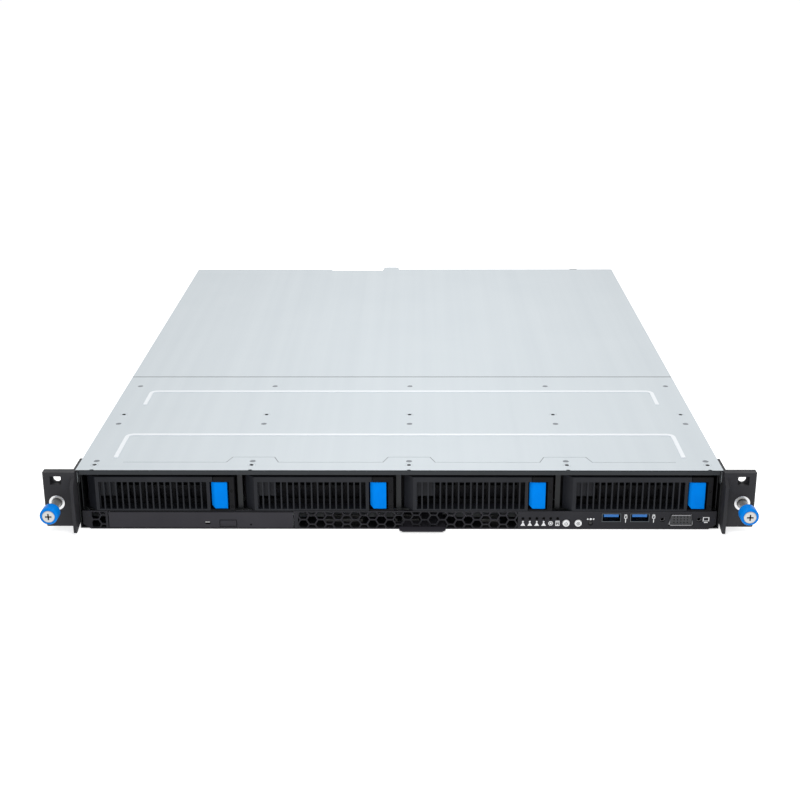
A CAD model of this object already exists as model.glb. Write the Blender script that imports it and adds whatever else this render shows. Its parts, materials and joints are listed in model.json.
# %% [markdown]
# # A rack server, one unit high
# This lesson dresses the frame of a flat rack computer: a galvanised cover, a black front with four disk
# trays, a slim disc drive, a row of lamps and sockets, and two ears with blue thumbscrews.
# The frame comes with the right sizes and places, so the work here is edges, finishes and small parts.

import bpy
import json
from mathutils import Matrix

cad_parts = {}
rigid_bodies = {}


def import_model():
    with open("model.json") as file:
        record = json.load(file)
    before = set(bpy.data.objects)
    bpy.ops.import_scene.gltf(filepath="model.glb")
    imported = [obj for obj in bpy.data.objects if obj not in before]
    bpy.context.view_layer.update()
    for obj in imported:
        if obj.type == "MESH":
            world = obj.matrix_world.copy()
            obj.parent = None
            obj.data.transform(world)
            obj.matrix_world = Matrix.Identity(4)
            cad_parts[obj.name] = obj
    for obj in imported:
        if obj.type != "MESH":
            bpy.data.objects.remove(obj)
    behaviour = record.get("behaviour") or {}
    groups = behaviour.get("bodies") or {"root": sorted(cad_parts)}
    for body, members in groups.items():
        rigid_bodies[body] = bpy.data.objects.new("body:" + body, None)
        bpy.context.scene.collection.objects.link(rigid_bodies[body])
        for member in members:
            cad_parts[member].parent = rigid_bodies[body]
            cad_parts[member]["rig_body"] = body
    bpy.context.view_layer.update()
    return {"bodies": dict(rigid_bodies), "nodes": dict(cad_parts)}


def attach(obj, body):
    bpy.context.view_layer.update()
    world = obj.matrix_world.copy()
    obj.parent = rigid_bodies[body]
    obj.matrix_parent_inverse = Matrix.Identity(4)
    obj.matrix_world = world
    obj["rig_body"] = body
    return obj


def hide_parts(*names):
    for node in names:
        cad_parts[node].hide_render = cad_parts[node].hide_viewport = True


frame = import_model()
nodes = frame["nodes"]
print("nodes in the frame:", len(nodes))

# %% [markdown]
# Everything is in metres. Sizes read better in millimetres, so MM turns one into the other.
# The front face of the machine stands 2 mm ahead of the plane where its ears meet the rack. X runs across
# the machine, Y to its back and Z up.

# %% Sizes used all through the lesson
import json
import math

import bpy
from mathutils import Vector

MM = 0.001
FRONT_Y = -2.0 * MM
REAR_Y = 555.5 * MM
TOP_Z = 43.6 * MM
FLOOR_TOP_Z = 1.0 * MM
ACROSS = (1.0, 0.0, 0.0)
BACK = (0.0, 1.0, 0.0)
UP = (0.0, 0.0, 1.0)
tray_bodies = [name for name in frame["bodies"] if name.startswith("tray_")]
tray_count = len(tray_bodies)
print("trays:", tray_count)

# %% [markdown]
# ## Tools for modelling
# An operator in Blender acts on all that is selected, and a freshly loaded frame is selected all over.
# So each step starts from nothing selected, and takes hold of one piece only.

# %% Take hold of one piece
def take(piece):
    """Make this piece the only one selected, and the active one."""
    if bpy.context.object and bpy.context.object.mode == "EDIT":
        bpy.ops.object.mode_set(mode="OBJECT")
    bpy.ops.object.select_all(action="DESELECT")
    piece.select_set(True)
    bpy.context.view_layer.objects.active = piece
    return piece


def pick_faces(piece, wanted):
    """Go to edit mode with only those faces selected whose centre and normal pass the test."""
    take(piece)
    bpy.ops.object.mode_set(mode="EDIT")
    bpy.ops.mesh.select_mode(type="FACE")
    bpy.ops.mesh.select_all(action="DESELECT")
    bpy.ops.object.mode_set(mode="OBJECT")
    for face in piece.data.polygons:
        face.select = wanted(face.center, face.normal)
    bpy.ops.object.mode_set(mode="EDIT")


def settle(piece):
    """Leave edit mode and put the piece's place into its mesh."""
    take(piece)
    bpy.ops.object.transform_apply(location=True, rotation=True, scale=True)
    return piece


def block(size, place, turn=(0.0, 0.0, 0.0)):
    """A box of this size with its middle at this place."""
    bpy.ops.object.select_all(action="DESELECT")
    bpy.ops.mesh.primitive_cube_add(size=1.0, location=place, rotation=turn)
    piece = bpy.context.object
    piece.scale = size
    return settle(piece)


def drum(radius, depth, place, sides=32, turn=(0.0, 0.0, 0.0)):
    """A round or many-sided plate with its middle at this place."""
    bpy.ops.object.select_all(action="DESELECT")
    bpy.ops.mesh.primitive_cylinder_add(
        vertices=sides, radius=radius, depth=depth, location=place, rotation=turn
    )
    return settle(bpy.context.object)


def cone(low_radius, high_radius, depth, place, sides=32):
    """A cone cut off at both ends, with its middle at this place."""
    bpy.ops.object.select_all(action="DESELECT")
    bpy.ops.mesh.primitive_cone_add(
        vertices=sides, radius1=low_radius, radius2=high_radius, depth=depth, location=place
    )
    return settle(bpy.context.object)


# %% [markdown]
# A modifier is tried out live and then applied, so that what is kept is a plain mesh. Two are used often:
# Boolean, which cuts one piece with another, and Bevel, which breaks sharp edges.

# %% Apply a modifier, cut with a tool, join pieces
def apply_modifier(piece, modifier):
    take(piece)
    bpy.ops.object.modifier_apply(modifier=modifier.name)


def cut(piece, tool):
    """Take the tool's shape away from the piece, and drop the tool."""
    boolean = piece.modifiers.new("cut", "BOOLEAN")
    boolean.object = tool
    boolean.operation = "DIFFERENCE"
    apply_modifier(piece, boolean)
    bpy.data.objects.remove(tool)
    return piece


def join(pieces, name):
    """Join several pieces into one object with one name."""
    take(pieces[0])
    for piece in pieces:
        piece.select_set(True)
    bpy.ops.object.join()
    joined = bpy.context.object
    joined.name = name
    joined.data.name = name
    return settle(joined)


def copy_at(piece, x, y):
    """A copy with its own mesh, moved by x and y."""
    twin = bpy.data.objects.new(piece.name, piece.data.copy())
    bpy.context.scene.collection.objects.link(twin)
    twin.location = (x, y, 0)
    return settle(twin)


# %% [markdown]
# ## Broken edges
# No sheet or moulding has a razor edge. A press leaves about 0.2 mm, a mould more, and that thin band is
# what catches the light and tells the eye where a part ends. A shape can be right and still look like
# paper without it. The frame's own meshes stay as they are, so a copy is merged and a Bevel rounds only
# the edges that really turn. Loop Slide is off: with it on, new points slide along the long thin triangles
# of a wide plate and fold them over, which shows as dark hairlines. The copy then stands for the node.

# %% Round the edges of a copy
sharp_turn = 30.0
merge_distance = 0.002 * MM


def rounded(node, width, segments, smooth):
    """A copy of a frame node with its edges rounded by width, shown in its place.

    Faces that meet at less than the angle smooth are shaded as one curve.
    """
    piece = bpy.data.objects.new(node + "_finished", nodes[node].data.copy())
    bpy.context.scene.collection.objects.link(piece)
    take(piece)
    bpy.ops.object.mode_set(mode="EDIT")
    bpy.ops.mesh.select_all(action="SELECT")
    bpy.ops.mesh.customdata_custom_splitnormals_clear()
    bpy.ops.mesh.remove_doubles(threshold=merge_distance)
    bpy.ops.object.mode_set(mode="OBJECT")
    bevel = piece.modifiers.new("edges", "BEVEL")
    bevel.width = width
    bevel.segments = segments
    bevel.limit_method = "ANGLE"
    bevel.angle_limit = math.radians(sharp_turn)
    bevel.use_clamp_overlap = False
    bevel.loop_slide = False
    bevel.miter_outer = "MITER_ARC"
    apply_modifier(piece, bevel)
    bpy.ops.object.shade_smooth_by_angle(angle=math.radians(smooth))
    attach(piece, nodes[node]["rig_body"])
    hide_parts(node)
    return piece


# %% [markdown]
# ## Effects shared by many finishes
# Five small node groups carry the detail. Each puts out only a value, a mask or a normal, and every finish
# sets its own strengths. The first is an even mottle: handling, dust and uneven paint make any large
# surface drift a little in tone and gloss, and a surface without that drift looks computed.

# %% Node group helpers
def new_group(name, inputs, outputs):
    """An empty node group, its input sockets and its output sockets.

    The inputs are given as name and default. The outputs are given as name and socket type.
    """
    group = bpy.data.node_groups.new(name, "ShaderNodeTree")
    for label, default in inputs.items():
        kind = "NodeSocketVector" if isinstance(default, tuple) else "NodeSocketFloat"
        group.interface.new_socket(name=label, in_out="INPUT", socket_type=kind).default_value = default
    for label, kind in outputs.items():
        group.interface.new_socket(name=label, in_out="OUTPUT", socket_type=kind)
    inside = group.nodes.new("NodeGroupInput").outputs
    return group, inside, group.nodes.new("NodeGroupOutput").inputs


def work_out(tree, operation, first, second):
    """The result of a Math node. Each side is a number or a socket."""
    node = tree.nodes.new("ShaderNodeMath")
    node.operation = operation
    for side, value in zip(node.inputs, (first, second)):
        if isinstance(value, float):
            side.default_value = value
        else:
            tree.links.new(value, side)
    return node.outputs[0]


# %% Mottle: slow drift of tone
mottle, inside, outside = new_group(
    "mottle", {"Patch Size": 0.05, "Low": 0.0, "High": 1.0}, {"Value": "NodeSocketFloat"}
)
place = mottle.nodes.new("ShaderNodeTexCoord")
drift = mottle.nodes.new("ShaderNodeTexNoise")
drift.inputs["Detail"].default_value = 3.0
spread = mottle.nodes.new("ShaderNodeMapRange")
spread.inputs["From Min"].default_value = 0.3
spread.inputs["From Max"].default_value = 0.7
mottle.links.new(work_out(mottle, "DIVIDE", 1.0, inside["Patch Size"]), drift.inputs["Scale"])
mottle.links.new(place.outputs["Object"], drift.inputs["Vector"])
mottle.links.new(drift.outputs["Fac"], spread.inputs["Value"])
mottle.links.new(inside["Low"], spread.inputs["To Min"])
mottle.links.new(inside["High"], spread.inputs["To Max"])
mottle.links.new(spread.outputs["Result"], outside["Value"])
print("group:", mottle.name)

# %% [markdown]
# Powder paint and spark-eroded moulds both leave a fine pebble, a few tenths of a millimetre across.
# It is far too small to model, so a fine noise goes through a Bump node and comes out as a normal.

# %% Pebble: the grain of paint and moulded plastic
pebble, inside, outside = new_group(
    "pebble", {"Grain Size": 0.0004, "Strength": 0.2}, {"Normal": "NodeSocketVector"}
)
place = pebble.nodes.new("ShaderNodeTexCoord")
grain = pebble.nodes.new("ShaderNodeTexNoise")
grain.inputs["Detail"].default_value = 2.0
relief = pebble.nodes.new("ShaderNodeBump")
relief.inputs["Distance"].default_value = 0.0001
pebble.links.new(work_out(pebble, "DIVIDE", 1.0, inside["Grain Size"]), grain.inputs["Scale"])
pebble.links.new(place.outputs["Object"], grain.inputs["Vector"])
pebble.links.new(grain.outputs["Fac"], relief.inputs["Height"])
pebble.links.new(inside["Strength"], relief.inputs["Strength"])
pebble.links.new(relief.outputs["Normal"], outside["Normal"])
print("group:", pebble.name)

# %% [markdown]
# Sheet steel comes off a roll, and the roll leaves faint streaks along its travel. Stretching a noise
# far along Y and squeezing it across X gives those streaks, once for tone and once for a shallow relief.

# %% Rolled: streaks along the sheet
rolled, inside, outside = new_group(
    "rolled",
    {"Streaks Across": 500.0, "Strength": 0.05},
    {"Value": "NodeSocketFloat", "Normal": "NodeSocketVector"},
)
place = rolled.nodes.new("ShaderNodeTexCoord")
stretch = rolled.nodes.new("ShaderNodeMapping")
stretch.inputs["Scale"].default_value = (1.0, 0.012, 1.0)
streak = rolled.nodes.new("ShaderNodeTexNoise")
streak.inputs["Detail"].default_value = 4.0
relief = rolled.nodes.new("ShaderNodeBump")
relief.inputs["Distance"].default_value = 0.00005
rolled.links.new(place.outputs["Object"], stretch.inputs["Vector"])
rolled.links.new(stretch.outputs["Vector"], streak.inputs["Vector"])
rolled.links.new(inside["Streaks Across"], streak.inputs["Scale"])
rolled.links.new(streak.outputs["Fac"], outside["Value"])
rolled.links.new(streak.outputs["Fac"], relief.inputs["Height"])
rolled.links.new(inside["Strength"], relief.inputs["Strength"])
rolled.links.new(relief.outputs["Normal"], outside["Normal"])
print("group:", rolled.name)

# %% [markdown]
# One node of the frame can hold two materials, such as a blue knob on a steel screw. Instead of slicing
# the mesh, a mask tells the material where it is: how far a point lies from a line along Y.

# %% Round mask: inside or outside a radius about a line along Y
round_mask, inside, outside = new_group(
    "round_mask", {"Centre X": 0.0, "Centre Z": 0.0, "Radius": 0.01}, {"Mask": "NodeSocketFloat"}
)
place = round_mask.nodes.new("ShaderNodeTexCoord")
apart = round_mask.nodes.new("ShaderNodeSeparateXYZ")
centre = round_mask.nodes.new("ShaderNodeCombineXYZ")
flat = round_mask.nodes.new("ShaderNodeCombineXYZ")
away = round_mask.nodes.new("ShaderNodeVectorMath")
away.operation = "DISTANCE"
round_mask.links.new(place.outputs["Object"], apart.inputs[0])
round_mask.links.new(apart.outputs["X"], flat.inputs["X"])
round_mask.links.new(apart.outputs["Z"], flat.inputs["Z"])
round_mask.links.new(inside["Centre X"], centre.inputs["X"])
round_mask.links.new(inside["Centre Z"], centre.inputs["Z"])
round_mask.links.new(flat.outputs[0], away.inputs[0])
round_mask.links.new(centre.outputs[0], away.inputs[1])
within = work_out(round_mask, "GREATER_THAN", inside["Radius"], away.outputs["Value"])
round_mask.links.new(within, outside["Mask"])
print("group:", round_mask.name)

# %% Slab mask: between two heights along one axis
slab_mask, inside, outside = new_group(
    "slab_mask", {"Axis": UP, "From": 0.0, "To": 1.0}, {"Mask": "NodeSocketFloat"}
)
place = slab_mask.nodes.new("ShaderNodeTexCoord")
along = slab_mask.nodes.new("ShaderNodeVectorMath")
along.operation = "DOT_PRODUCT"
slab_mask.links.new(place.outputs["Object"], along.inputs[0])
slab_mask.links.new(inside["Axis"], along.inputs[1])
above = work_out(slab_mask, "GREATER_THAN", along.outputs["Value"], inside["From"])
below = work_out(slab_mask, "LESS_THAN", along.outputs["Value"], inside["To"])
slab_mask.links.new(work_out(slab_mask, "MULTIPLY", above, below), outside["Mask"])
print("group:", slab_mask.name)

# %% [markdown]
# ## Finishes
# A finish is a Principled BSDF with a colour that drifts between two close tones, a gloss that drifts in
# smaller patches, and a relief. Dark paint and plastic are never pure black: a little always reflects, and
# the grain scatters it. Each finish below is one call with its own values.

# %% Build blocks of a finish
def begin(name):
    """A new material with its node tree and its Principled BSDF."""
    material = bpy.data.materials.new(name)
    material.use_nodes = True
    tree = material.node_tree
    return material, tree, tree.nodes["Principled BSDF"]


def add_group(tree, group, **values):
    """Put a node group in a tree and set its inputs; Patch_Size sets the input called Patch Size."""
    node = tree.nodes.new("ShaderNodeGroup")
    node.node_tree = group
    for label, value in values.items():
        node.inputs[label.replace("_", " ")].default_value = value
    return node


def blend_colours(tree, mask, first, second):
    """From the first colour to the second by a mask socket. The first can also be a socket."""
    mix = tree.nodes.new("ShaderNodeMix")
    mix.data_type = "RGBA"
    if isinstance(first, tuple):
        mix.inputs["A"].default_value = (*first, 1.0)
    else:
        tree.links.new(first, mix.inputs["A"])
    mix.inputs["B"].default_value = (*second, 1.0)
    tree.links.new(mask, mix.inputs["Factor"])
    return mix.outputs["Result"]


def box_mask(tree, *slabs):
    """The part of space that lies in all of these slabs: (axis, from, to)."""
    masks = [add_group(tree, slab_mask, Axis=a, From=f, To=t).outputs["Mask"] for a, f, t in slabs]
    inside_all = masks[0]
    for mask in masks[1:]:
        inside_all = work_out(tree, "MULTIPLY", inside_all, mask)
    return inside_all


def banded(tree, colour, bands):
    """Lay bands (axis, from, to, colour) over a colour: each gives one layer of space its own."""
    for axis, start, end, own in bands:
        colour = blend_colours(tree, box_mask(tree, (axis, start, end)), colour, own)
    return colour


def coated(name, dark, light, gloss, patch=0.04, grain=0.0005, relief=0.15, metal=0.0, spec=0.5, bands=()):
    """Paint or moulded plastic: two close tones, gloss from low to high, a pebble relief."""
    material, tree, surface = begin(name)
    tone = add_group(tree, mottle, Patch_Size=patch)
    sheen = add_group(tree, mottle, Patch_Size=patch * 0.4, Low=gloss[0], High=gloss[1])
    bumps = add_group(tree, pebble, Grain_Size=grain, Strength=relief)
    colour = banded(tree, blend_colours(tree, tone.outputs["Value"], dark, light), bands)
    tree.links.new(colour, surface.inputs["Base Color"])
    tree.links.new(sheen.outputs["Value"], surface.inputs["Roughness"])
    tree.links.new(bumps.outputs["Normal"], surface.inputs["Normal"])
    surface.inputs["Metallic"].default_value = metal
    surface.inputs["Specular IOR Level"].default_value = spec
    return material


def rolled_metal(name, dark, light, gloss, metal=1.0, streaks=500.0, relief=0.05, bands=()):
    """Sheet metal with streaks along Y and a slow drift of gloss."""
    material, tree, surface = begin(name)
    grain = add_group(tree, rolled, Streaks_Across=streaks, Strength=relief)
    sheen = add_group(tree, mottle, Patch_Size=0.07, Low=gloss[0], High=gloss[1])
    colour = banded(tree, blend_colours(tree, grain.outputs["Value"], dark, light), bands)
    tree.links.new(colour, surface.inputs["Base Color"])
    tree.links.new(sheen.outputs["Value"], surface.inputs["Roughness"])
    tree.links.new(grain.outputs["Normal"], surface.inputs["Normal"])
    surface.inputs["Metallic"].default_value = metal
    return material


# %% [markdown]
# Some sheets change colour in one layer. The cover's punched dimples, screw seats and pressed line lie
# below its face and look dark, while its raised beads are rubbed bright. The cut edges at its seam and at
# its front are dark too. The cage and the base are bare inside, but their first 16 mm are sprayed black
# together with the front. Each disk wears a black shock cap on the end that faces the tray, and the gap
# round the drive's button is always in shade.

# %% Layers of the cover and of the bare sheets
seam_y = 196.4 * MM
press_line = (UP, TOP_Z - 0.42 * MM, TOP_Z - 0.13 * MM, (0.24, 0.26, 0.28))
screw_seats = (UP, TOP_Z - 0.95 * MM, TOP_Z - 0.42 * MM, (0.08, 0.09, 0.10))
beads = (UP, TOP_Z + 0.10 * MM, TOP_Z + 1.0 * MM, (0.83, 0.86, 0.89))
seam = (BACK, seam_y, seam_y + 0.9 * MM, (0.16, 0.17, 0.18))
front_edge = (BACK, FRONT_Y - 1.0 * MM, FRONT_Y + 0.05 * MM, (0.02, 0.02, 0.022))
sprayed_front = (BACK, -20.0 * MM, 16.0 * MM, (0.010, 0.011, 0.012))
button_gap = (BACK, FRONT_Y - 0.19 * MM, FRONT_Y + 1.0 * MM, (0.002, 0.002, 0.003))
shock_cap = (BACK, 10.0 * MM, 15.5 * MM, (0.010, 0.010, 0.012))
socket_depth = (BACK, 500.0 * MM, REAR_Y - 0.6 * MM, (0.008, 0.008, 0.009))

# %% The finishes of this machine
cover_finish = rolled_metal(
    "cover_zinc", (0.57, 0.62, 0.655), (0.63, 0.68, 0.71), (0.42, 0.50), metal=0.5, streaks=90.0,
    bands=(press_line, screw_seats, beads, seam, front_edge),
)
sheet_finish = rolled_metal("chassis_zinc", (0.46, 0.48, 0.50), (0.58, 0.60, 0.62), (0.36, 0.48), metal=0.9)
painted_front = rolled_metal(
    "zinc_with_black_front", (0.46, 0.48, 0.50), (0.58, 0.60, 0.62), (0.4, 0.5), metal=0.5,
    bands=(sprayed_front,),
)
bright_finish = rolled_metal("nickel", (0.62, 0.62, 0.62), (0.74, 0.74, 0.74), (0.18, 0.26), streaks=900.0)
cast_finish = coated(
    "disk_casting", (0.40, 0.41, 0.42), (0.50, 0.51, 0.52), (0.42, 0.55), metal=0.85, relief=0.25,
    bands=(shock_cap,),
)
bracket_finish = coated(
    "bracket_zinc", (0.10, 0.10, 0.10), (0.16, 0.16, 0.16), (0.4, 0.5), patch=0.01, metal=0.9
)
rear_socket = coated(
    "rear_socket", (0.34, 0.34, 0.35), (0.42, 0.42, 0.43), (0.34, 0.44), patch=0.004, metal=0.5,
    relief=0.05, bands=(socket_depth,),
)
fin_finish = rolled_metal("sink_aluminium", (0.66, 0.67, 0.68), (0.78, 0.79, 0.80), (0.28, 0.36))
front_paint = coated("front_black", (0.012, 0.012, 0.015), (0.018, 0.018, 0.022), (0.44, 0.56), spec=0.2)
beam_paint = coated("beam_black", (0.012, 0.015, 0.018), (0.018, 0.021, 0.025), (0.36, 0.46), spec=0.3)
ear_paint = coated(
    "ear_charcoal", (0.020, 0.020, 0.023), (0.028, 0.028, 0.031), (0.46, 0.58), relief=0.2,
    spec=0.22,
)
tray_plastic = coated(
    "tray_plastic", (0.009, 0.010, 0.013), (0.014, 0.015, 0.019), (0.42, 0.54), patch=0.03, spec=0.2
)
cage_plastic = coated("carrier_plastic", (0.004, 0.004, 0.005), (0.007, 0.007, 0.008), (0.5, 0.62), spec=0.12)
bezel_plastic = coated(
    "bezel_plastic", (0.023, 0.022, 0.027), (0.030, 0.029, 0.035), (0.46, 0.56), relief=0.1,
    spec=0.2, bands=(button_gap,),
)
latch_plastic = coated(
    "latch_blue", (0.0, 0.195, 0.74), (0.0, 0.225, 0.81), (0.42, 0.50), patch=0.01, relief=0.05,
    spec=0.02,
)
white_plastic = coated(
    "button_white", (0.74, 0.75, 0.76), (0.82, 0.83, 0.84), (0.30, 0.40), patch=0.003, relief=0.05
)
fan_plastic = coated("fan_plastic", (0.010, 0.010, 0.011), (0.018, 0.018, 0.019), (0.40, 0.55))
socket_plastic = coated("socket_plastic", (0.012, 0.012, 0.013), (0.020, 0.020, 0.021), (0.45, 0.60))
lamp_plastic = coated(
    "unlit_lamp", (0.002, 0.002, 0.002), (0.004, 0.004, 0.004), (0.5, 0.6), patch=0.001,
    relief=0.02, spec=0.02,
)
label_film = coated("blank_label", (0.50, 0.50, 0.49), (0.56, 0.56, 0.55), (0.42, 0.52), relief=0.03)
print("finishes so far:", len(bpy.data.materials))

# %% [markdown]
# Circuit boards are green lacquer over copper. Under the lacquer the tracks show as a slightly lighter
# net of straight lines, which a Voronoi texture with square distance gives at small scale.

# %% Circuit board
board_lacquer, tree, surface = begin("board_lacquer")
place = tree.nodes.new("ShaderNodeTexCoord")
tracks = tree.nodes.new("ShaderNodeTexVoronoi")
tracks.distance = "CHEBYCHEV"
tracks.feature = "F2"
tracks.inputs["Scale"].default_value = 160.0
raised = tree.nodes.new("ShaderNodeBump")
raised.inputs["Distance"].default_value = 0.00004
tree.links.new(place.outputs["Object"], tracks.inputs["Vector"])
edge = work_out(tree, "GREATER_THAN", tracks.outputs["Distance"], 0.62)
lacquer = blend_colours(tree, edge, (0.010, 0.075, 0.040), (0.018, 0.130, 0.070))
tree.links.new(lacquer, surface.inputs["Base Color"])
tree.links.new(edge, raised.inputs["Height"])
tree.links.new(raised.outputs["Normal"], surface.inputs["Normal"])
surface.inputs["Roughness"].default_value = 0.32
surface.inputs["Coat Weight"].default_value = 0.3
print("made", board_lacquer.name)

# %% [markdown]
# The thumbscrews are a steel screw in a blue knob. A round mask swaps colour and metal together at the
# radius of the steel insert, and a slab mask keeps the shaft behind the knob steel as well. One of each
# together darken the cross recess, where grease and shade collect.

# %% Blue knob on a steel screw
recess_start_y, recess_end_y = -30.66 * MM, -25.0 * MM
knob_back_y, shaft_end_y = -21.5 * MM, 100.0 * MM
insert_radius = 4.24 * MM
recess_radius = 2.5 * MM
screw_x = 232.55 * MM
screw_z = 21.8 * MM


def knob_finish(name, x):
    """Blue plastic outside the steel insert of a thumbscrew that stands at x."""
    material, tree, surface = begin(name)
    core = add_group(tree, round_mask, Centre_X=x, Centre_Z=screw_z, Radius=insert_radius)
    shaft = box_mask(tree, (BACK, knob_back_y, shaft_end_y))
    steel = work_out(tree, "MAXIMUM", core.outputs["Mask"], shaft)
    well = add_group(tree, round_mask, Centre_X=x, Centre_Z=screw_z, Radius=recess_radius)
    sunk = box_mask(tree, (BACK, recess_start_y, recess_end_y))
    recess = work_out(tree, "MULTIPLY", well.outputs["Mask"], sunk)
    worn = add_group(tree, mottle, Patch_Size=0.002, Low=0.30, High=0.40)
    fine = add_group(tree, pebble, Grain_Size=0.0003, Strength=0.06)
    clean = blend_colours(tree, steel, (0.0, 0.20, 0.70), (0.50, 0.50, 0.49))
    tree.links.new(blend_colours(tree, recess, clean, (0.02, 0.02, 0.02)), surface.inputs["Base Color"])
    tree.links.new(steel, surface.inputs["Metallic"])
    tree.links.new(worn.outputs["Value"], surface.inputs["Roughness"])
    tree.links.new(fine.outputs["Normal"], surface.inputs["Normal"])
    surface.inputs["Specular IOR Level"].default_value = 0.1
    return material


left_knob = knob_finish("left_knob", -screw_x)
right_knob = knob_finish("right_knob", screw_x)
print("made", left_knob.name, "and", right_knob.name)

# %% [markdown]
# A front socket is a steel shell with a blue plastic tongue high inside it. Each tongue lies inside a small
# box of space, so three slab masks, one along each axis, pick it out.

# %% Sockets with a blue tongue
usb_columns = (145.5, 164.9)
half_tongue = 5.1
usb_tongue, tree, surface = begin("socket_with_blue_tongue")
high = (UP, 8.87 * MM, 10.83 * MM)
deep = (BACK, -1.35 * MM, 8.0 * MM)
left_tongue, right_tongue = [
    box_mask(tree, high, deep, (ACROSS, (x - half_tongue) * MM, (x + half_tongue) * MM)) for x in usb_columns
]
tongue = work_out(tree, "MAXIMUM", left_tongue, right_tongue)
shell_gloss = add_group(tree, mottle, Patch_Size=0.004, Low=0.28, High=0.4)
shell_or_tongue = blend_colours(tree, tongue, (0.10, 0.11, 0.12), (0.01, 0.15, 0.48))
tree.links.new(shell_or_tongue, surface.inputs["Base Color"])
tree.links.new(work_out(tree, "SUBTRACT", 1.0, tongue), surface.inputs["Metallic"])
tree.links.new(shell_gloss.outputs["Value"], surface.inputs["Roughness"])
print("made", usb_tongue.name)

# %% [markdown]
# The monitor socket is a steel D-shaped shell round a dark insert with three rows of holes. The holes
# come with the frame, so only the insert's colour has to be told apart from the shell's.

# %% Monitor socket
monitor_x, monitor_z = 193.1, 7.0
half_insert_width, half_insert_height = 7.6, 3.4
monitor_socket, tree, surface = begin("monitor_socket")
insert = box_mask(
    tree,
    (ACROSS, (monitor_x - half_insert_width) * MM, (monitor_x + half_insert_width) * MM),
    (UP, (monitor_z - half_insert_height) * MM, (monitor_z + half_insert_height) * MM),
)
shell_gloss = add_group(tree, mottle, Patch_Size=0.003, Low=0.24, High=0.36)
shell_or_insert = blend_colours(tree, insert, (0.30, 0.30, 0.31), (0.022, 0.023, 0.026))
tree.links.new(shell_or_insert, surface.inputs["Base Color"])
tree.links.new(work_out(tree, "SUBTRACT", 1.0, insert), surface.inputs["Metallic"])
tree.links.new(shell_gloss.outputs["Value"], surface.inputs["Roughness"])
print("made", monitor_socket.name)

# %% [markdown]
# The power supply is a bare sheet case, but its mains inlet is a moulded black cup. Three slab masks, one
# along each axis, enclose the cup, and inside them the metal turns into black plastic.

# %% Power supply case with a black inlet
inlet_x = 200.9 * MM
inlet_z = 15.3 * MM
supply_finish, tree, surface = begin("supply_case")
cup = box_mask(
    tree,
    (ACROSS, inlet_x - 12.3 * MM, inlet_x + 12.3 * MM),
    (BACK, REAR_Y - 30.0 * MM, REAR_Y - 0.08 * MM),
    (UP, inlet_z - 8.6 * MM, inlet_z + 8.6 * MM),
)
bare_sheet = work_out(tree, "SUBTRACT", 1.0, cup)
grain = add_group(tree, rolled, Streaks_Across=500.0, Strength=0.05)
sheen = add_group(tree, mottle, Patch_Size=0.07, Low=0.36, High=0.48)
sheet_tone = blend_colours(tree, grain.outputs["Value"], (0.46, 0.48, 0.50), (0.58, 0.60, 0.62))
case_colour = blend_colours(tree, cup, sheet_tone, (0.008, 0.008, 0.009))
tree.links.new(case_colour, surface.inputs["Base Color"])
tree.links.new(work_out(tree, "MULTIPLY", bare_sheet, 0.8), surface.inputs["Metallic"])
tree.links.new(sheen.outputs["Value"], surface.inputs["Roughness"])
tree.links.new(grain.outputs["Normal"], surface.inputs["Normal"])
print("made", supply_finish.name)

# %% [markdown]
# ## Dress the frame's nodes
# First the large visible parts get their broken edges. The width is the most that the finest step nearby
# can bear: 0.06 mm beside the cover's pressed line, 0.15 mm on a plain sheet or moulding, 1.2 mm on a handle.

# %% Finish list for the rounded copies
def dress(piece, material):
    """Give a piece one material."""
    piece.data.materials.clear()
    piece.data.materials.append(material)


rounding = {
    "front_cover": (0.06, 2, cover_finish, "cover_steel"),
    "rear_cover": (0.15, 2, cover_finish, "cover_steel"),
    "base_pan": (0.15, 2, painted_front, "chassis_steel"),
    "front_beam": (0.18, 2, beam_paint, "black_paint"),
    "front_panel": (0.06, 2, front_paint, "black_paint"),
    "left_ear": (0.1, 1, ear_paint, "ear_paint"),
    "right_ear": (0.1, 1, ear_paint, "ear_paint"),
    "optical_tray": (0.15, 2, bezel_plastic, "bezel_plastic"),
    "eject_button": (0.12, 2, bezel_plastic, "bezel_plastic"),
    "asset_tag": (0.15, 2, bezel_plastic, "bezel_plastic"),
    "power_button": (0.2, 3, white_plastic, "white_plastic"),
    "locate_button": (0.2, 3, white_plastic, "white_plastic"),
    "reset_button": (0.15, 2, socket_plastic, "bezel_plastic"),
    "left_thumbscrew": (0.12, 2, left_knob, "blue_knob"),
    "right_thumbscrew": (0.12, 2, right_knob, "blue_knob"),
    "ear_ferrules": (0.15, 2, bright_finish, "bright_steel"),
    "rear_panel": (0.05, 2, sheet_finish, "chassis_steel"),
    "psu_case": (0.06, 1, supply_finish, "chassis_steel"),
    "psu_handle": (1.2, 4, fan_plastic, "fan_plastic"),
    "psu_latch": (0.3, 3, latch_plastic, "latch_plastic"),
}
for number in range(1, tray_count + 1):
    rounding[f"tray_lever_{number}"] = (0.12, 2, tray_plastic, "tray_plastic")
    rounding[f"tray_carrier_{number}"] = (0.12, 2, cage_plastic, "tray_plastic")
    rounding[f"tray_latch_{number}"] = (0.3, 3, latch_plastic, "latch_plastic")
    rounding[f"hard_disk_{number}"] = (0.3, 2, cast_finish, "disk_metal")
round_parts = ("thumbscrew", "button", "ferrules", "handle", "latch")
face_count = 0
for node, (width, segments, material, slot) in rounding.items():
    smooth = 25.0 if any(word in node for word in round_parts) else 7.0
    finished = rounded(node, width * MM, segments, smooth)
    dress(finished, material)
    face_count += len(finished.data.polygons)
print("rounded copies:", len(rounding), "with faces:", face_count)

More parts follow.
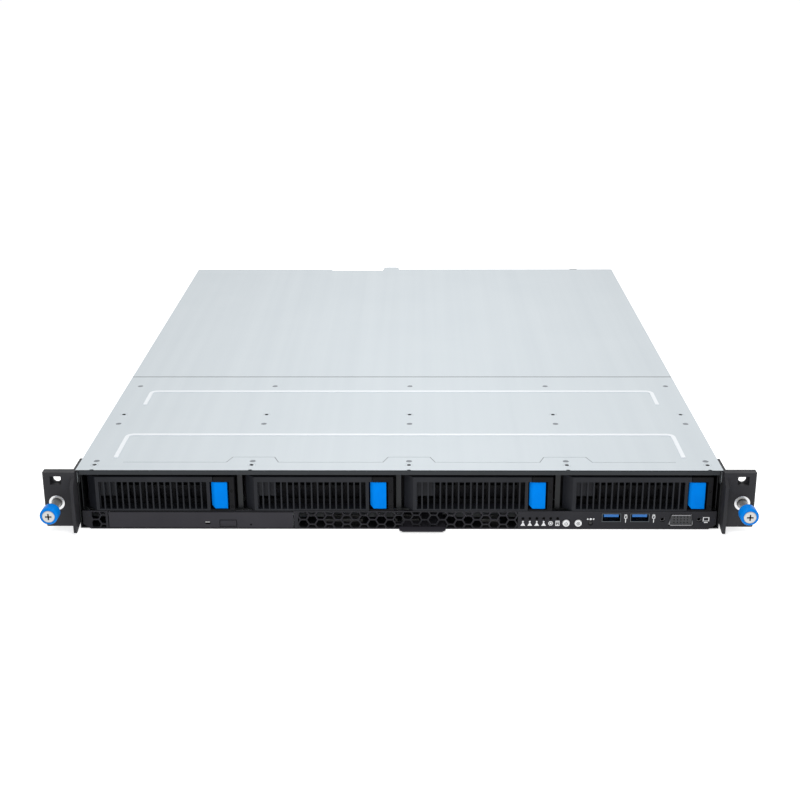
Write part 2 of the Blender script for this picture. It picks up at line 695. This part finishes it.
# %% [markdown]
# Parts that sit deeper keep the frame's own mesh and only get a finish.

# %% Finishes for the nodes that stay
kept = {
    "drive_cage": painted_front,
    "slot_covers": sheet_finish,
    "optical_drive_case": sheet_finish,
    "io_board": board_lacquer,
    "motherboard": board_lacquer,
    "backplane": board_lacquer,
    "memory_modules": board_lacquer,
    "board_sockets": socket_plastic,
    "usb_ports": usb_tongue,
    "vga_port": monitor_socket,
    "rear_ports": rear_socket,
    "led_light_pipes": lamp_plastic,
    "heatsink": fin_finish,
    "air_duct": fan_plastic,
    "fan_frames": fan_plastic,
    "psu_rotor": fan_plastic,
    "left_screw_clip": bright_finish,
    "right_screw_clip": bright_finish,
}
for name in nodes:
    if name.startswith("fan_rotor_"):
        kept[name] = fan_plastic
for name, material in kept.items():
    dress(nodes[name], material)
print("kept nodes:", len(kept))

# %% [markdown]
# ## Cover screws
# The cover is held by plated flat-head screws with a cross recess. The heads nearly vanish in the cover,
# and the recess reads as a dark dot. One screw is modelled: a cone for the head, a shank pulled out of it,
# a conical well and a cross cut with tapered wedges. Then it is copied to each hole.

# %% One flat-head screw
screw_columns = [-208.6, -100.8, 7.0, 114.8, 210.6]
screw_rows = [7.8, 107.7]
shank_radius, head_radius = 1.4 * MM, 2.8 * MM
head_depth, shank_length = 1.0 * MM, 1.8 * MM
head_top_z = TOP_Z - 0.1 * MM
head = cone(shank_radius, head_radius, head_depth, (0, 0, head_top_z - head_depth / 2))
pick_faces(head, lambda centre, normal: normal.z < -0.9)
bpy.ops.mesh.extrude_region_move(TRANSFORM_OT_translate={"value": (0, 0, -shank_length)})
pick_faces(head, lambda centre, normal: normal.z > 0.9)
bpy.ops.mesh.bevel(offset=0.12 * MM, segments=2, affect="EDGES")
bpy.ops.object.mode_set(mode="OBJECT")

# %% Its recess: a conical well and two wedges
wedge_size = (3.7 * MM, 0.95 * MM, 1.5 * MM)
wedge_foot_z = head_top_z - wedge_size[2] / 2
head = cut(head, cone(0.45 * MM, 1.5 * MM, 1.3 * MM, (0, 0, head_top_z - 0.6 * MM), 24))
for turn in (0.0, 90.0):
    wedge = block(wedge_size, (0, 0, head_top_z), (0, 0, math.radians(turn)))
    pick_faces(wedge, lambda centre, normal: normal.z < -0.9)
    bpy.ops.transform.resize(value=(0.55, 0.55, 1.0), center_override=(0, 0, wedge_foot_z))
    bpy.ops.object.mode_set(mode="OBJECT")
    head = cut(head, wedge)
print("screw faces:", len(head.data.polygons))

# %% Plating on the head, dark inside the recess
recess_dark = coated(
    "recess_dark", (0.010, 0.010, 0.011), (0.020, 0.020, 0.021), (0.5, 0.6), patch=0.001, spec=0.2
)
head.data.materials.append(cover_finish)
head.data.materials.append(recess_dark)
recess_reach, recess_floor_z = 1.9 * MM, head_top_z - 1.3 * MM
for face in head.data.polygons:
    near_middle = math.hypot(face.center.x, face.center.y) < recess_reach
    in_recess = near_middle and face.normal.z < 0.95 and face.center.z > recess_floor_z
    face.material_index = 1 if in_recess else 0

# %% Copy it to every hole
screws = [copy_at(head, x * MM, y * MM) for x in screw_columns for y in screw_rows]
bpy.data.objects.remove(head)
cover_screws = join(screws, "cover_screw_set")
take(cover_screws)
bpy.ops.object.shade_smooth_by_angle(angle=math.radians(35))
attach(cover_screws, "chassis")
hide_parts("cover_screws")
print("screws:", len(screws))

# %% [markdown]
# ## Printed marks
# The front carries white pictograms, printed in thick ink: one under each lamp, one beside each socket.
# They are built here from discs, bars and rings a twentieth of a millimetre proud, so they stay sharp at
# any distance. A ring is a disc whose two caps are inset and bridged through.

# %% Ink shapes
INK = 0.05 * MM
ink_y = FRONT_Y - INK / 2 + 0.01 * MM


def ink_disc(x, z, radius, sides=28, turn=0.0, y=ink_y):
    facing = (math.radians(90), math.radians(turn), 0)
    return drum(radius * MM, INK, (x * MM, y, z * MM), sides, facing)


def ink_ring(x, z, radius, line, sides=28, turn=0.0, y=ink_y):
    ring = ink_disc(x, z, radius, sides, turn, y)
    pick_faces(ring, lambda centre, normal: abs(normal.y) > 0.9)
    bpy.ops.mesh.inset(thickness=line * MM, use_individual=True)
    bpy.ops.mesh.bridge_edge_loops()
    bpy.ops.object.mode_set(mode="OBJECT")
    return ring


def ink_bar(x, z, width, height, y=ink_y):
    return block((width * MM, INK, height * MM), (x * MM, y, z * MM))


def ink_frame(x, z, width, height, line, y=ink_y):
    """A hollow rectangle: a four-sided ring, 1 mm wide, stretched to its size."""
    unit_square_radius = 0.7071
    frame_mark = ink_ring(x, z, unit_square_radius, line / max(width, height), 4, 45.0, y)
    take(frame_mark)
    bpy.ops.object.mode_set(mode="EDIT")
    bpy.ops.mesh.select_all(action="SELECT")
    bpy.ops.transform.resize(value=(width, 1.0, height), center_override=(x * MM, y, z * MM))
    bpy.ops.object.mode_set(mode="OBJECT")
    return frame_mark


# %% Pictograms under the lamps
first_lamp_x, lamp_pitch, lamp_count = 85.1, 4.74, 6
lamp_x = [first_lamp_x + lamp_pitch * index for index in range(lamp_count)]
mark_z = 4.4
marks = []
for x in lamp_x[:4]:
    marks.append(ink_disc(x, mark_z - 0.9, 1.9, 3))
    marks.append(ink_disc(x, mark_z + 1.2, 0.62, 16))
marks.append(ink_ring(lamp_x[4], mark_z, 1.75, 0.45, 6, 30.0))
marks.append(ink_disc(lamp_x[4], mark_z, 0.7, 16))
marks.append(ink_frame(lamp_x[5], mark_z, 2.8, 3.8, 0.55))
marks.append(ink_bar(lamp_x[5], mark_z + 0.8, 1.5, 0.4))
marks.append(ink_disc(lamp_x[5], mark_z - 0.7, 0.5, 16))
print("lamp marks:", len(marks))

# %% Pictograms beside the sockets and over the reset hole
plug_columns = (155.3, 174.4)
screen_x, reset_x, row_z = 210.2, 131.4, 7.6
for x in plug_columns:
    marks.append(ink_bar(x, 6.6, 0.55, 3.2))
    marks.append(ink_frame(x, 9.2, 2.0, 2.2, 0.45))
    marks.append(ink_bar(x - 0.5, 10.8, 0.4, 1.0))
    marks.append(ink_bar(x + 0.5, 10.8, 0.4, 1.0))
marks.append(ink_frame(screen_x, row_z, 4.4, 3.0, 0.6))
marks.append(ink_bar(screen_x, row_z - 2.4, 2.6, 0.6))
marks.append(ink_disc(reset_x - 2.0, row_z, 0.85, 3, 90.0))
marks.append(ink_disc(reset_x, row_z, 0.75, 20))
marks.append(ink_disc(reset_x + 2.0, row_z, 0.85, 3, -90.0))
panel_marks = join(marks, "panel_marks")
dress(panel_marks, white_plastic)
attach(panel_marks, "chassis")
print("marks joined, faces:", len(panel_marks.data.polygons))

# %% [markdown]
# The two white buttons carry a grey mark each: the usual ring with a bar for power, and a ring with a dot
# for the light that helps to find the machine in its rack. The gap in the power ring is cut with a bar.

# %% Marks on the buttons
cap_y = FRONT_Y - 0.6 * MM - INK / 2 + 0.02 * MM
power_x, power_z = 114.7, 4.3
locate_x, locate_z = 123.0, 4.5
grey_ink = coated(
    "grey_ink", (0.10, 0.105, 0.11), (0.14, 0.145, 0.15), (0.45, 0.55), patch=0.002, relief=0.02
)
power_ring = ink_ring(power_x, power_z, 1.15, 0.35, y=cap_y)
power_ring = cut(power_ring, ink_bar(power_x, power_z + 1.0, 0.9, 1.2, cap_y - 0.004 * MM))
power_mark = join([power_ring, ink_bar(power_x, power_z + 0.8, 0.34, 1.3, cap_y)], "power_mark")
locate_ring = ink_ring(locate_x, locate_z, 1.2, 0.35, y=cap_y)
locate_mark = join([locate_ring, ink_disc(locate_x, locate_z, 0.45, 16, y=cap_y)], "locate_mark")
for mark, body in ((power_mark, "power_button"), (locate_mark, "locate_button")):
    dress(mark, grey_ink)
    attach(mark, body)
print("button marks:", power_mark.name, locate_mark.name)

# %% [markdown]
# The disc drive has a short printed dash beside its lamp.

# %% Dash on the drive's bezel
bezel_y = FRONT_Y - 0.2 * MM - INK / 2 + 0.02 * MM
drive_dash = join([ink_bar(-131.4, 5.2, 3.2, 0.5, bezel_y)], "drive_dash")
dress(drive_dash, label_film)
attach(drive_dash, "optical_tray")

# %% [markdown]
# ## Small lenses
# Each tray has two light pipes at its right edge, and each lamp of the row has a clear end behind its
# hole. A lens is a low dome, made by flattening a ball and cutting its back half away with Bisect.

# %% A low dome
def dome(x, y, z, radius, bulge):
    """A dome that bulges towards -Y."""
    bpy.ops.object.select_all(action="DESELECT")
    bpy.ops.mesh.primitive_uv_sphere_add(segments=20, ring_count=10, radius=radius, location=(0, 0, 0))
    lens = bpy.context.object
    lens.name = "lens"
    lens.scale = (1.0, bulge / radius, 1.0)
    settle(lens)
    bpy.ops.object.mode_set(mode="EDIT")
    bpy.ops.mesh.select_all(action="SELECT")
    bpy.ops.mesh.bisect(plane_co=(0, 0, 0), plane_no=(0, 1, 0), use_fill=True, clear_outer=True)
    bpy.ops.object.mode_set(mode="OBJECT")
    lens.location = (x, y, z)
    bpy.ops.object.shade_smooth_by_angle(angle=math.radians(50))
    return settle(lens)


# %% Tray lamps and the row of six
smoked = coated(
    "smoked_lens", (0.003, 0.003, 0.004), (0.007, 0.007, 0.008), (0.14, 0.22), patch=0.001,
    relief=0.0, spec=0.1,
)
first_tray_x, tray_pitch = -162.75 * MM, 108.5 * MM
tray_centres = [first_tray_x + tray_pitch * index for index in range(tray_count)]
lens_from_centre, lens_y = 48.8 * MM, FRONT_Y + 0.25 * MM
lens_rows = (28.3 * MM, 16.8 * MM)
for number, centre_x in enumerate(tray_centres, 1):
    lens_x = centre_x + lens_from_centre
    lenses = [dome(lens_x, lens_y, z, 0.95 * MM, 0.3 * MM) for z in lens_rows]
    pair = join(lenses, f"tray_lenses_{number}")
    dress(pair, smoked)
    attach(pair, f"tray_{number}")
lamp_y, lamp_z = FRONT_Y - 0.08 * MM, 8.0 * MM
row = join([dome(x * MM, lamp_y, lamp_z, 0.78 * MM, 0.2 * MM) for x in lamp_x], "lamp_lenses")
dress(row, lamp_plastic)
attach(row, "chassis")
print("lenses:", 2 * tray_count + len(lamp_x))

# %% [markdown]
# ## What shows when a tray is out
# A disk carries a label and two rows of small screws on its lid. The label stays blank. It is a thin film
# with rounded corners: a plane, its corners bevelled, then given a thickness.

# %% Disk label and lid
disk_top_z = 40.1 * MM
label_half_width = 34 * MM
label_front_y, label_back_y = 56 * MM, 140 * MM


def film(x0, x1, y0, y1, z, corner, thick, name):
    """A thin film with rounded corners, lying flat."""
    bpy.ops.object.select_all(action="DESELECT")
    bpy.ops.mesh.primitive_plane_add(size=1.0, location=((x0 + x1) / 2, (y0 + y1) / 2, z))
    sheet = bpy.context.object
    sheet.name = name
    sheet.scale = (x1 - x0, y1 - y0, 1.0)
    settle(sheet)
    bpy.ops.object.mode_set(mode="EDIT")
    bpy.ops.mesh.select_all(action="SELECT")
    bpy.ops.mesh.bevel(offset=corner, segments=4, affect="VERTICES")
    bpy.ops.mesh.select_all(action="SELECT")
    bpy.ops.mesh.extrude_region_move(TRANSFORM_OT_translate={"value": (0, 0, thick)})
    bpy.ops.mesh.select_all(action="SELECT")
    bpy.ops.mesh.normals_make_consistent(inside=False)
    bpy.ops.object.mode_set(mode="OBJECT")
    return sheet


for number, centre_x in enumerate(tray_centres, 1):
    label = film(
        centre_x - label_half_width, centre_x + label_half_width, label_front_y, label_back_y,
        disk_top_z - 0.02 * MM, 3 * MM, 0.12 * MM, f"disk_label_{number}",
    )
    dress(label, label_film)
    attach(label, f"tray_{number}")
print("labels:", tray_count)

# %% [markdown]
# The lid screws stand only 0.15 mm proud, so that they pass under the front beam when a tray slides out.

# %% One lid screw, then six of them on each disk
lid_screw_x = 42 * MM
lid_screw_rows = (24 * MM, 86 * MM, 150 * MM)
lid_screw = drum(2.2 * MM, 0.5 * MM, (0, 0, disk_top_z - 0.1 * MM), 24)
pick_faces(lid_screw, lambda centre, normal: normal.z > 0.9)
bpy.ops.mesh.bevel(offset=0.25 * MM, segments=2, affect="EDGES")
bpy.ops.mesh.inset(thickness=0.7 * MM)
bpy.ops.mesh.extrude_region_move(TRANSFORM_OT_translate={"value": (0, 0, -0.35 * MM)})
bpy.ops.object.mode_set(mode="OBJECT")
for number, centre_x in enumerate(tray_centres, 1):
    spots = [(side * lid_screw_x, y) for side in (-1, 1) for y in lid_screw_rows]
    lid_screws = join([copy_at(lid_screw, centre_x + x, y) for x, y in spots], f"disk_screws_{number}")
    dress(lid_screws, bright_finish)
    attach(lid_screws, f"tray_{number}")
bpy.data.objects.remove(lid_screw)
print("lid screws per disk:", len(spots))

# %% [markdown]
# ## The disc tray
# With the drive open, the middle of the tray shows the hub that holds the disc: a low drum with three
# small balls that spring outwards.

# %% Disc hub
drive_left_x, drive_width = -199.9, 128.1
optical_x = (drive_left_x + drive_width / 2) * MM
optical_y = 64.0 * MM
hub_z, hub_depth = 8.4 * MM, 1.6 * MM
ball_count, ball_circle = 3, 6.7 * MM
hub = drum(7.2 * MM, hub_depth, (optical_x, optical_y, hub_z), 48)
pick_faces(hub, lambda centre, normal: normal.z > 0.9)
bpy.ops.mesh.bevel(offset=0.5 * MM, segments=3, affect="EDGES")
bpy.ops.mesh.inset(thickness=2.6 * MM)
bpy.ops.mesh.extrude_region_move(TRANSFORM_OT_translate={"value": (0, 0, -0.9 * MM)})
bpy.ops.object.mode_set(mode="OBJECT")
balls = []
for index in range(ball_count):
    angle = math.radians(90 + 360 / ball_count * index)
    ball_x = optical_x + ball_circle * math.cos(angle)
    ball_y = optical_y + ball_circle * math.sin(angle)
    bpy.ops.object.select_all(action="DESELECT")
    bpy.ops.mesh.primitive_uv_sphere_add(
        segments=16, ring_count=8, radius=0.9 * MM, location=(ball_x, ball_y, hub_z + 0.1 * MM)
    )
    balls.append(settle(bpy.context.object))
disc_hub = join([hub, *balls], "disc_hub")
take(disc_hub)
bpy.ops.object.shade_smooth_by_angle(angle=math.radians(35))
dress(disc_hub, bright_finish)
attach(disc_hub, "optical_tray")
print("hub stands", round((hub_z + hub_depth / 2) / MM, 1), "mm above the base")

# %% [markdown]
# ## Brackets behind the honeycomb
# Through the honeycomb a few bright edges show on the floor of the machine: low folded brackets that hold
# cables down. Each is a short channel: a block whose middle is pushed down.

# %% Floor brackets
bracket_spans = ((-52.0, -25.0), (-2.6, 14.0), (57.0, 70.0))
bracket_y, bracket_length, bracket_height = 12 * MM, 8 * MM, 2.0 * MM
brackets = []
for x0, x1 in bracket_spans:
    place = ((x0 + x1) / 2 * MM, bracket_y, FLOOR_TOP_Z + bracket_height / 2)
    bracket = block(((x1 - x0) * MM, bracket_length, bracket_height), place)
    pick_faces(bracket, lambda centre, normal: normal.z > 0.9)
    bpy.ops.mesh.inset(thickness=1.0 * MM)
    bpy.ops.mesh.extrude_region_move(TRANSFORM_OT_translate={"value": (0, 0, -1.2 * MM)})
    bpy.ops.object.mode_set(mode="OBJECT")
    brackets.append(bracket)
floor_brackets = join(brackets, "floor_brackets")
dress(floor_brackets, bracket_finish)
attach(floor_brackets, "chassis")
print("brackets:", len(brackets))

# %% [markdown]
# ## The mains inlet
# The power supply's inlet is a black cup with three flat pins. The pins are blades with a chamfered tip.

# %% Pins in the inlet
pin_places = ((-7.0, -1.5), (7.0, -1.5), (0.0, 2.5))
pin_size, pin_y = (2.0 * MM, 14.0 * MM, 4.0 * MM), 546.5 * MM
pins = []
for x, z in pin_places:
    pin = block(pin_size, (inlet_x + x * MM, pin_y, inlet_z + z * MM))
    pick_faces(pin, lambda centre, normal: normal.y > 0.9)
    bpy.ops.mesh.bevel(offset=0.6 * MM, segments=2, affect="EDGES")
    bpy.ops.object.mode_set(mode="OBJECT")
    pins.append(pin)
inlet_pins = join(pins, "inlet_pins")
dress(inlet_pins, bright_finish)
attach(inlet_pins, "psu")
print("pins:", len(pins))

# %% [markdown]
# ## The room
# The picture was taken in a white room. A plain pale floor takes the shadow, and Light Path lifts what the
# camera and reflections see of floor and sky to white, without adding any light to the machine itself.

# %% Rays that see a thing itself
def seen_directly(tree):
    """1 for rays of the camera and its reflections, 0 for the rays that only carry light."""
    path = tree.nodes.new("ShaderNodeLightPath").outputs
    eye_or_mirror = work_out(tree, "MAXIMUM", path["Is Camera Ray"], path["Is Glossy Ray"])
    return work_out(tree, "MAXIMUM", eye_or_mirror, path["Is Transmission Ray"])


# %% Floor
white = (1.0, 1.0, 1.0, 1.0)
floor_lift = 0.62
room_light, room_seen = 0.45, 1.0
bpy.ops.object.select_all(action="DESELECT")
bpy.ops.mesh.primitive_plane_add(size=14.0, location=(0, 0.3, -0.3 * MM))
floor = bpy.context.object
floor.name = "studio_floor"
floor_finish, tree, surface = begin("studio_floor")
surface.inputs["Base Color"].default_value = (0.86, 0.86, 0.86, 1.0)
surface.inputs["Roughness"].default_value = 0.9
surface.inputs["Specular IOR Level"].default_value = 0.0
surface.inputs["Emission Color"].default_value = white
lift = work_out(tree, "MULTIPLY", seen_directly(tree), floor_lift)
tree.links.new(lift, surface.inputs["Emission Strength"])
dress(floor, floor_finish)
print("floor size:", tuple(round(v, 1) for v in floor.dimensions))

# %% World
world = bpy.data.worlds.new("white_room")
bpy.context.scene.world = world
world.use_nodes = True
tree = world.node_tree
background = tree.nodes["Background"]
background.inputs["Color"].default_value = white
strength = tree.nodes.new("ShaderNodeMapRange")
strength.inputs["To Min"].default_value = room_light
strength.inputs["To Max"].default_value = room_seen
tree.links.new(seen_directly(tree), strength.inputs["Value"])
tree.links.new(strength.outputs["Result"], background.inputs["Strength"])
print("world:", world.name)

# %% [markdown]
# ## Light
# A long soft box hangs over the machine, a wide one in front fills the black face, and a third one stands
# to the right. All are large, so the shadows stay soft. They are hidden from reflections, because a satin
# cover would mirror them as a hot spot from behind; it reflects only the even white of the room.

# %% Soft boxes
def soft_box(name, place, target, size, power):
    """A large lamp at this place, aimed at the target."""
    lamp = bpy.data.lights.new(name, "AREA")
    lamp.shape = "RECTANGLE"
    lamp.size, lamp.size_y = size
    lamp.energy = power
    box = bpy.data.objects.new(name, lamp)
    bpy.context.scene.collection.objects.link(box)
    box.location = place
    aim = box.location - Vector(target)
    box.rotation_euler = aim.to_track_quat("Z", "Y").to_euler()
    box.visible_glossy = False
    box.visible_camera = False


soft_box("overhead", (0.02, 0.15, 0.48), (0.02, 0.15, 0.0), (0.18, 1.3), 3.0)
soft_box("front_fill", (-0.5, -1.7, 0.7), (0.0, 0.0, 0.02), (1.6, 1.0), 12.0)
soft_box("side_fill", (1.5, -0.6, 0.6), (0.1, 0.1, 0.02), (0.9, 0.9), 4.0)
print("lamps:", len(bpy.data.lights))

# %% [markdown]
# ## Camera
# The camera stands where the photograph was taken from: about 0.9 m in front, looking down by 20 degrees.
# Its place and lens come from the known width of the rack ears and the lines of the cover.

# %% Camera
camera_data = bpy.data.cameras.new("camera")
camera_data.lens = 61.09
camera_data.sensor_width = 36.0
camera = bpy.data.objects.new("camera", camera_data)
bpy.context.scene.collection.objects.link(camera)
camera.location = (0.011378, -0.852022, 0.395993)
camera.rotation_euler = [math.radians(angle) for angle in (70.44987, 0.20732, 0.61638)]
bpy.context.scene.camera = camera
bpy.context.scene.view_settings.view_transform = "Standard"
print("camera lens:", camera_data.lens, "mm")
